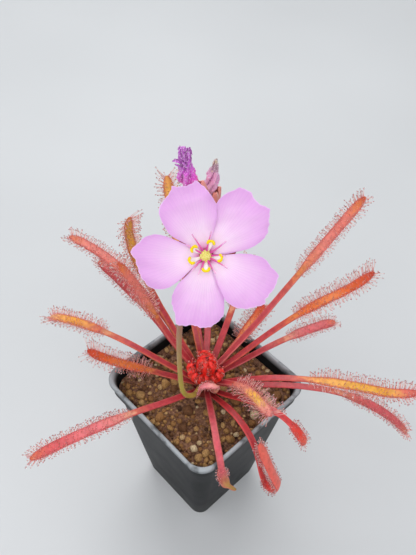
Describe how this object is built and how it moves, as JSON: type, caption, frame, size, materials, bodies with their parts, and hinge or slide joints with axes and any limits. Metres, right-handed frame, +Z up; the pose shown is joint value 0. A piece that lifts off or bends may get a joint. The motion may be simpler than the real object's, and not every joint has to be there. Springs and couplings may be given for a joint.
{
  "type": "potted sundew",
  "caption": "Strap-leaved red sundew in a square black nursery pot, with sticky stalked glands and one pink flower on a tall leaning stalk.",
  "frame": {"origin": "middle of the flat foot of the pot, on the plane that it rests on", "axes": "+Z up along the middle of the pot; the pot's sides lie along X and Y, and the flower stalk leans towards +X and -Y"},
  "size_m": [0.1695, 0.1743, 0.2948],
  "materials": {
    "black_moulded_polypropylene": "injection moulded black polypropylene, satin with a slight grain",
    "gritty_potting_mix": "open mix of crushed fired clay, bark and peat, matt and damp",
    "crimson_leaf": "living leaf, crimson with orange and yellow blades, smooth and waxy, wet at the glands",
    "red_stem": "living stem and tuft of young leaves, deep red",
    "green_scape": "living flower stalk, yellow-green turning reddish brown, finely downy",
    "reddish_sepal": "living sepals, green flushed with red, downy",
    "orchid_pink_petal": "thin living petal, pale orchid pink, silky and finely veined",
    "cream_stamen": "white filaments with yellow anthers, powdery",
    "lime_pistil": "yellow-green ovary with pink styles, waxy",
    "withered_purple_petal": "dry, twisted and crinkled petals, purple"
  },
  "bodies": {
    "root": {"bud_1": "reddish_sepal", "bud_2": "reddish_sepal", "bud_3": "reddish_sepal", "bud_4": "reddish_sepal", "crown": "red_stem", "flower_calyx": "reddish_sepal", "flower_petals": "orchid_pink_petal", "flower_pistil": "lime_pistil", "flower_stamens": "cream_stamen", "leaf_01": "crimson_leaf", "leaf_02": "crimson_leaf", "leaf_03": "crimson_leaf", "leaf_04": "crimson_leaf", "leaf_05": "crimson_leaf", "leaf_06": "crimson_leaf", "leaf_07": "crimson_leaf", "leaf_08": "crimson_leaf", "leaf_09": "crimson_leaf", "leaf_10": "crimson_leaf", "leaf_11": "crimson_leaf", "leaf_12": "crimson_leaf", "leaf_13": "crimson_leaf", "leaf_14": "crimson_leaf", "leaf_15": "crimson_leaf", "leaf_16": "crimson_leaf", "leaf_17": "crimson_leaf", "leaf_18": "crimson_leaf", "leaf_19": "crimson_leaf", "leaf_20": "crimson_leaf", "leaf_21": "crimson_leaf", "leaf_22": "crimson_leaf", "pot": "black_moulded_polypropylene", "scape": "green_scape", "soil": "gritty_potting_mix", "spent_flower_1_calyx": "reddish_sepal", "spent_flower_1_petals": "withered_purple_petal", "spent_flower_2_calyx": "reddish_sepal", "spent_flower_2_petals": "withered_purple_petal"}
  },
  "joints": []
}
